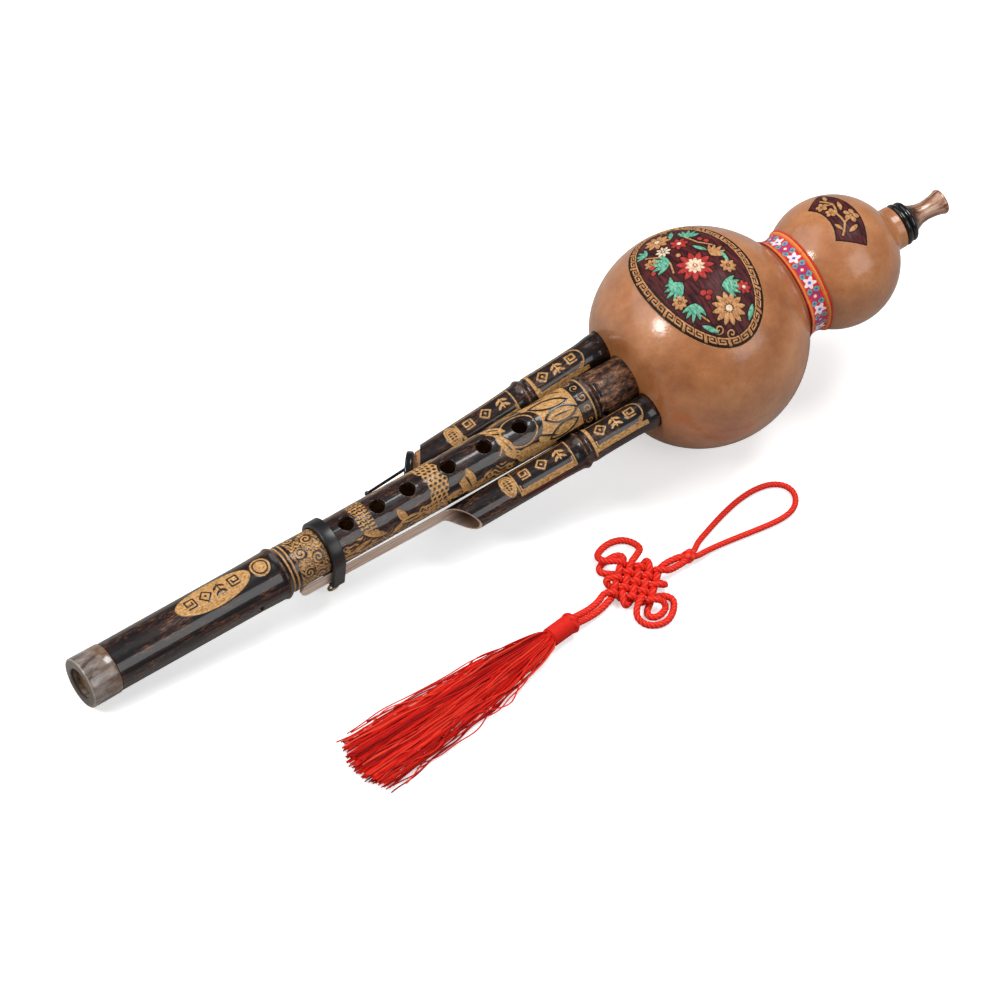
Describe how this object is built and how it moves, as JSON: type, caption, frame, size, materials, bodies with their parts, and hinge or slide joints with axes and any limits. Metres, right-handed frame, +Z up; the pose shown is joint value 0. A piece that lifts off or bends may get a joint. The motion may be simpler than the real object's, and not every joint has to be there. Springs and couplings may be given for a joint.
{
  "type": "hulusi",
  "caption": "Gourd flute: a double gourd with a fingered bamboo pipe between two drone pipes, horn mouthpiece, waist ribbon, and a red knotted tassel lying beside it.",
  "frame": {"origin": "centre of the base of the instrument's box, on the table that the big bulb and the horn ring rest on", "axes": "+X along the instrument to the mouthpiece, +Z up on the finger-hole side, -Y to the open drone and the tassel"},
  "size_m": [0.4328, 0.1493, 0.0922],
  "materials": {
    "gourd_skin": "gloss lacquer",
    "ribbon_cloth": "woven ribbon",
    "black_plastic": "gloss",
    "black_bamboo": "polished",
    "horn": "polished horn",
    "brass_sheet": "rolled",
    "wire": "bright",
    "beeswax": "wax",
    "cork_bark": "cork",
    "red_cord": "silk cord"
  },
  "bodies": {
    "hulusi": {"gourd": "gourd_skin", "waist_ribbon": "ribbon_cloth", "neck_ring": "black_plastic", "mouthpiece": "horn", "main_pipe": "black_bamboo", "end_ferrule": "horn", "main_reed_plate": "brass_sheet", "main_pipe_plug": "beeswax", "near_drone": "black_bamboo", "near_drone_plug": "beeswax", "far_drone": "black_bamboo", "far_drone_plug": "beeswax", "drone_reed_plate": "brass_sheet", "pipe_seal": "beeswax", "tongue_hoop": "black_plastic", "hanger_eye": "wire"},
    "stopper": {"stopper_cork": "cork_bark", "stopper_head": "black_plastic", "stopper_rod": "black_plastic"},
    "main_reed": {"main_reed_tongue": "brass_sheet"},
    "drone_reed": {"drone_reed_tongue": "brass_sheet"},
    "tassel": {"hanging_loop": "red_cord", "button_knot": "red_cord", "endless_knot_long": "red_cord", "endless_knot_short": "red_cord", "tassel_head": "red_cord", "tassel_skirt": "red_cord"}
  },
  "joints": [
    {"name": "stopper_pull", "type": "slide", "parent": "hulusi", "child": "stopper", "axis": [-0.9791, -0.0246, -0.2021], "range_m": [0, 0.012]},
    {"name": "main_reed_flex", "type": "hinge", "parent": "hulusi", "child": "main_reed", "pos_m": [0.07942, 0, 0.05385], "axis": [0, 1, 0], "range_deg": [-2.5, 2.5], "stiffness_Nm_per_rad": 0.001},
    {"name": "drone_reed_flex", "type": "hinge", "parent": "hulusi", "child": "drone_reed", "pos_m": [0.07404, 0.01832, 0.05178], "axis": [-0.0245, 0.9997, -0.0028], "range_deg": [-2.5, 2.5], "stiffness_Nm_per_rad": 0.001},
    {"name": "tassel_lift", "type": "slide", "parent": "hulusi", "child": "tassel", "axis": [0, 0, 1], "range_m": [0, 0.08]}
  ]
}
